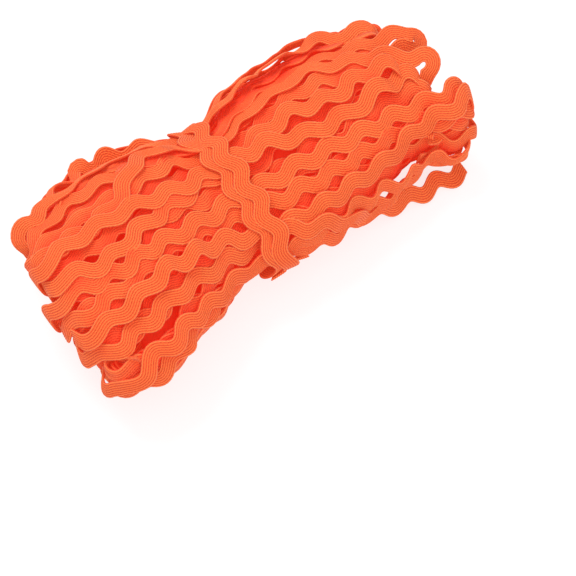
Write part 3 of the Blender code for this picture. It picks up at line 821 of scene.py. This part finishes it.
def braid_finish(name, light, middle, painted_shade, groove_shade_and_fleck, edge, bump):
    material = bpy.data.materials.new(name)
    material.use_nodes = True
    tree = material.node_tree
    shader = tree.nodes["Principled BSDF"]
    map_node = node(tree, "ShaderNodeUVMap", {"uv_map": "UVMap"})
    split = node(tree, "ShaderNodeSeparateXYZ", Vector=map_node.outputs[0])
    group = tree.nodes.new("ShaderNodeGroup")
    group.node_tree = weave
    tree.links.new(split.outputs["X"], group.inputs["Across"])
    tree.links.new(split.outputs["Y"], group.inputs["Along"])
    tone = node(tree, "ShaderNodeAttribute", {"attribute_name": "tone"})
    place = tree.nodes.new("ShaderNodeTexCoord")
    patches = node(tree, "ShaderNodeTexNoise", Vector=place.outputs["Object"], Scale=95.0, Detail=3.0, Roughness=0.55)
    fibres = node(tree, "ShaderNodeTexNoise", Vector=place.outputs["Object"], Scale=2600.0, Detail=2.0, Roughness=0.6)
    uneven = maths(tree, "MULTIPLY_ADD", patches.outputs[0], 0.8, maths(tree, "MULTIPLY_ADD", tone.outputs["Fac"], 0.5, -0.15))
    dye = blend(tree, maths(tree, "MINIMUM", maths(tree, "MAXIMUM", uneven, 0.0), 1.0), (*middle, 1.0), (*light, 1.0))
    # Painted shade: the dye goes to a deep red where a run lies under its neighbours.
    painted_shade_amount = node(tree, "ShaderNodeAttribute", {"attribute_name": "painted_shade"})
    shaded = blend(tree, maths(tree, "MINIMUM", maths(tree, "MULTIPLY", painted_shade_amount.outputs["Fac"], 1.1), 0.80), dye, (*painted_shade, 1.0))
    # Small flecks of the fibres' own darker colour.
    flecked = blend(tree, maths(tree, "MULTIPLY", fibres.outputs[0], 0.20), shaded, (*groove_shade_and_fleck, 1.0))
    # Paler edge cords, partly a painted highlight along each band's edges.
    edged = blend(tree, maths(tree, "MULTIPLY", group.outputs["Edge"], 0.45), flecked, (*edge, 1.0))
    # Painted shade in the grooves between the cords and in the stitch dots.
    grooved = blend(tree, maths(tree, "MULTIPLY", group.outputs["Groove"], 0.80), edged, (*groove_shade_and_fleck, 1.0))
    tree.links.new(grooved, shader.inputs["Base Color"])
    rough = node(tree, "ShaderNodeMapRange", Value=fibres.outputs[0], To_Min=0.60, To_Max=0.85)
    tree.links.new(rough.outputs[0], shader.inputs["Roughness"])
    fuzz = maths(tree, "MULTIPLY_ADD", fibres.outputs[0], 0.35, group.outputs["Height"])
    relief = node(tree, "ShaderNodeBump", Height=fuzz, Strength=bump, Distance=0.00018)
    tree.links.new(relief.outputs[0], shader.inputs["Normal"])
    shader.inputs["Specular IOR Level"].default_value = 0.30
    # Painted red glow, strongest where the run has painted shade.
    painted_glow = blend(tree, maths(tree, "MINIMUM", painted_shade_amount.outputs["Fac"], 0.8), (*PAINTED_OPEN_GLOW, 1.0), (*PAINTED_DEEP_GLOW, 1.0))
    tree.links.new(painted_glow, shader.inputs["Emission Color"])
    shader.inputs["Emission Strength"].default_value = PAINTED_GLOW
    shader.inputs["Sheen Weight"].default_value = 0.22
    shader.inputs["Sheen Roughness"].default_value = 0.45
    shader.inputs["Sheen Tint"].default_value = (1.0, 0.55, 0.42, 1.0)
    return material


orange_braid = braid_finish(
    "orange_braid", light=(0.87, 0.200, 0.044), middle=(0.85, 0.118, 0.017), painted_shade=(0.88, 0.030, 0.006),
    groove_shade_and_fleck=(0.62, 0.022, 0.004), edge=(0.92, 0.30, 0.095), bump=1.2,
)

tuck_of = {"third": 0.006, "second": 0.010}
for group, count in (("third", 3), ("second", 5), ("under", 7), ("facing_first", 7), ("facing_last", 7)):
    paths = [run_path(run, tuck_of.get(group, 0.014)) for run in runs if run["group"] == group]
    piece = add_piece(f"{group}_runs", braid_mesh(f"{group}_runs", paths, orange_braid, Ribs=count), orange_braid)
    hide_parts("hank")


# The folds on the end faces
# Inside the outer runs' folds the inner runs turn back too, so that each end of the hank is a close pack of
# small loops, row inside row.

INNER_ROWS = [
    # depth under the outline, how many, how far they stop short of the outer folds, first one in degrees
    (0.0066, 18, 0.0012, 5.0),
    (0.0108, 13, 0.0020, 20.0),
    (0.0146, 10, 0.0026, 40.0),
    (0.0172, 11, 0.0022, 10.0),
]
END_SECTION = 0.0690
inner_paths = {"left": [], "right": []}
for depth, count, short, first in INNER_ROWS:
    for i in range(count):
        for name, sign in (("left", -1.0), ("right", 1.0)):
            turn = first + 360.0 * (i + chance.uniform(-0.25, 0.25)) / count
            radius = chance.uniform(0.0016, 0.0028)
            reach = through(REACH, np.array([turn % 360.0]))[0][0 if sign < 0 else 1]
            end = sign * (reach - short - radius - chance.uniform(0.0, 0.0030))
            away = np.arange(0.0120, 0.0, -STEP)
            x = end - sign * away
            point = on_outline(np.full(len(x), sign * END_SECTION), np.full(len(x), turn), np.full(len(x), -depth))
            point[:, 0] = x + OUTLINE_SHIFT[0]
            normal = outline_normal(np.array([sign * END_SECTION * 0.9]), np.array([turn]))[0]
            normal = unit(normal * np.array((0.0, 1.0, 1.0)))
            roll = chance.normal(0.0, 0.35)
            out = np.array((sign, 0.0, 0.0))
            side = np.cross(out, normal)
            normal = normal * math.cos(roll) + side * math.sin(roll)
            side = np.cross(out, normal)
            bent, faces = bend_round(point[-1], out, normal, side, radius, chance.normal(0.0, 15.0), 0.0120)
            centre = np.concatenate([point, bent])
            facing = np.concatenate([np.repeat(normal[None, :], len(point), axis=0), faces])
            flat = np.zeros(len(centre))
            wave = np.arange(len(centre)) * STEP / PITCH + chance.uniform(0.0, 1.0)
            swell = np.full(len(centre), chance.uniform(0.9, 1.1))
            # The end folds get a fixed share of painted shade, as they lie deep inside the outer folds.
            inner_paths[name].append(path_of(centre, facing, wave, swell, flat, flat, chance.uniform(0.1, 0.7), 0.4))
for name, paths in inner_paths.items():
    piece = add_piece(f"{name}_end_folds", braid_mesh(f"{name}_end_folds", paths, orange_braid, Ribs=5), orange_braid)
    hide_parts("hank")


# The tie
# The same trim once more, laid twice round the waist and pulled tight, so that the two turns lie side by side
# and bite into the hank. It is made fast low on the near side, where two short tails stick out.

TIE_X = -0.0062
TIE_TURNS = [
    # rows of turn and offset along X, then the turn at which the wave is furthest to the left
    (((0, -0.0022), (28, -0.0034), (48, -0.0026), (75, -0.0021), (180, -0.0021), (300, -0.0021), (360, -0.0022)), 85.0),
    (((0, 0.0022), (30, 0.0022), (50, 0.0021), (75, 0.0021), (180, 0.0021), (300, 0.0021), (360, 0.0022)), 88.0),
]
TIE_WAVES = 12
TIE_START = 135            # the points from turn 0 to where the turns close, underneath
tie_paths = []
for offsets, leftmost in TIE_TURNS:
    turn = np.linspace(0.0, 360.0, 181)[:-1]
    x = TIE_X - OUTLINE_SHIFT[0] + through(np.array(offsets, dtype=float), turn)[:, 0]
    steps = arc_per_degree(x, turn)
    arc = np.cumsum(steps) - steps / 2
    wave = (arc - np.interp(leftmost, turn, arc)) / steps.sum() * TIE_WAVES
    swing = SWING * np.cos(2 * np.pi * wave)
    samples = swing[:, None] + ACROSS[None, :]
    under = laid[map_place_of((x[:, None] - samples).ravel(), np.repeat(turn, 5))].reshape(-1, 5)
    left, right = under[:, 3:].max(axis=1), under[:, :2].max(axis=1)
    round_again = np.tile((left - right) / (0.72 * BAND_WIDTH), 3)
    tilt = np.clip(smooth(round_again, 6.0), -0.5, 0.5)[180:360]
    height = (under - tilt[:, None] * samples).max(axis=1)
    height = smooth(highest_near(np.tile(height, 3), 2), 4.0)[180:360] + BAND_THICKNESS / 2
    prints = swing[:, None] + FOOTPRINT[None, :]
    top = height[:, None] + tilt[:, None] * prints + BAND_THICKNESS / 2
    columns, rows = map_place_of((x[:, None] - prints).ravel(), np.repeat(turn, 15))
    np.maximum.at(laid, (columns, rows), top.ravel())
    centre = on_outline(x, turn, settled(x, height))
    facing = outline_normal(x, turn)
    centre, facing, wave, tilt = (np.roll(values, -TIE_START, axis=0) for values in (centre, facing, wave, tilt))
    tie_paths.append(path_of(
        centre, facing, wave + 0.5, np.ones(len(x)), tilt, -0.2 * np.ones(len(x)), 0.55, closed=True,
    ))

TIE_TAILS = [
    # where it leaves the tie, along X and by its turn; the height there; the way it leans along X; its length
    (-0.0082, 184.0, 0.0030, -0.20, 0.0085),
    (-0.0006, 180.0, 0.0022, 0.45, 0.0070),
]
for x, turn, rise, lean, length in TIE_TAILS:
    place = (np.array([x]), np.array([turn]))
    root = on_outline(*place, np.array([rise]))[0]
    out = outline_normal(*place)[0]
    down = np.cross(np.array((1.0, 0.0, 0.0)), out)
    way = unit(-down + np.array((lean, 0.0, 0.0)) + 0.35 * out)
    gone = np.arange(0.0, length, STEP)[:, None]
    centre = root - way * 0.0030 + way * gone
    flat = np.zeros(len(centre))
    tie_paths.append(path_of(
        centre, np.repeat(unit(out + 0.2 * way)[None, :], len(centre), axis=0), gone[:, 0] / PITCH, flat + 1.0,
        flat, flat, 0.4,
    ))
tie = add_piece("tie_turns", braid_mesh("tie_turns", tie_paths, orange_braid), orange_braid)
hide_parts("waist_tie")


# The loose end
# The cut end of the wound braid. It comes out from under the tie, follows the near side of the right lobe,
# drops to the table and ends.

LOOSE = np.array([
    # x, y, z, lean from flat in degrees
    (-0.0034, -0.0212, 0.0288, 50.0),
    (0.0015, -0.0228, 0.0292, 50.0),
    (0.0071, -0.0252, 0.0285, 57.0),
    (0.0119, -0.0266, 0.0272, 64.0),
    (0.0165, -0.0273, 0.0250, 73.0),
    (0.0210, -0.0273, 0.0210, 82.0),
    (0.0255, -0.0264, 0.0165, 86.0),
    (0.0300, -0.0256, 0.0130, 82.0),
    (0.0344, -0.0250, 0.0103, 74.0),
    (0.0444, -0.0246, 0.0066, 54.0),
    (0.0544, -0.0244, 0.0045, 36.0),
    (0.0624, -0.0243, 0.0029, 22.0),
    (0.0690, -0.0243, 0.0020, 12.0),
])
loose_x = np.arange(LOOSE[0, 0], LOOSE[-1, 0], STEP * 0.96)
loose_y, loose_z, loose_lean = through(LOOSE, loose_x).T
loose_lean = np.radians(loose_lean)
loose_centre = np.stack([loose_x, loose_y, loose_z], axis=1)
loose_facing = np.stack([0 * loose_x, -np.sin(loose_lean), np.cos(loose_lean)], axis=1)
flat = np.zeros(len(loose_x))
loose_path = path_of(loose_centre, loose_facing, loose_x / PITCH, flat + 1.0, flat, flat, 0.6)
loose = add_piece("loose_end_trim", braid_mesh("loose_end_trim", [loose_path], orange_braid), orange_braid)
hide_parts("loose_end")


# The floor and the light
# A pale sheet of paper under and behind the hank, lit by broad soft lights from above.

FLOOR_COLOUR = (0.28, 0.28, 0.28)
FLOOR_GLOW = 0.75          # the sheet is lit through from behind too, which takes most of the shadow away
floor_mesh = plain_mesh("floor", [(-3, -3, 0), (3, -3, 0), (3, 3, 0), (-3, 3, 0)], [(0, 1, 2, 3)])
floor_material = bpy.data.materials.new("pale_paper")
floor_material.use_nodes = True
floor_shader = floor_material.node_tree.nodes["Principled BSDF"]
floor_shader.inputs["Base Color"].default_value = (*FLOOR_COLOUR, 1.0)
floor_shader.inputs["Roughness"].default_value = 0.9
floor_shader.inputs["Specular IOR Level"].default_value = 0.1
floor_shader.inputs["Emission Color"].default_value = (1.0, 1.0, 1.0, 1.0)
floor_shader.inputs["Emission Strength"].default_value = FLOOR_GLOW
floor_mesh.materials.append(floor_material)
floor = bpy.data.objects.new("floor", floor_mesh)
bpy.context.scene.collection.objects.link(floor)

LIGHTS = [
    # name, where it stands in view: right, up, towards the camera; size; power
    ("key", (-0.45, 0.95, 0.80), 0.6, 10.0),
    ("fill", (0.70, -0.50, 0.90), 0.9, 4.0),
    ("top", (0.0, 0.2, 1.3), 1.0, 3.0),
]
for name, (to_right, to_up, towards), size, power in LIGHTS:
    lamp_data = bpy.data.lights.new(name, "AREA")
    lamp_data.size = size
    lamp_data.energy = power
    lamp = bpy.data.objects.new(name, lamp_data)
    lamp.location = HANK_MIDDLE + view_right * to_right + view_up * to_up + to_camera * towards
    lamp.rotation_euler = (lamp.location - HANK_MIDDLE).to_track_quat("Z", "Y").to_euler()
    bpy.context.scene.collection.objects.link(lamp)

world = bpy.data.worlds.new("studio")
world.use_nodes = True
world.node_tree.nodes["Background"].inputs["Color"].default_value = (1.0, 1.0, 1.0, 1.0)
world.node_tree.nodes["Background"].inputs["Strength"].default_value = 0.70
bpy.context.scene.world = world
bpy.context.scene.cycles.diffuse_bounces = 10
bpy.context.scene.cycles.pixel_filter_width = 1.0
bpy.context.scene.view_settings.view_transform = "Standard"
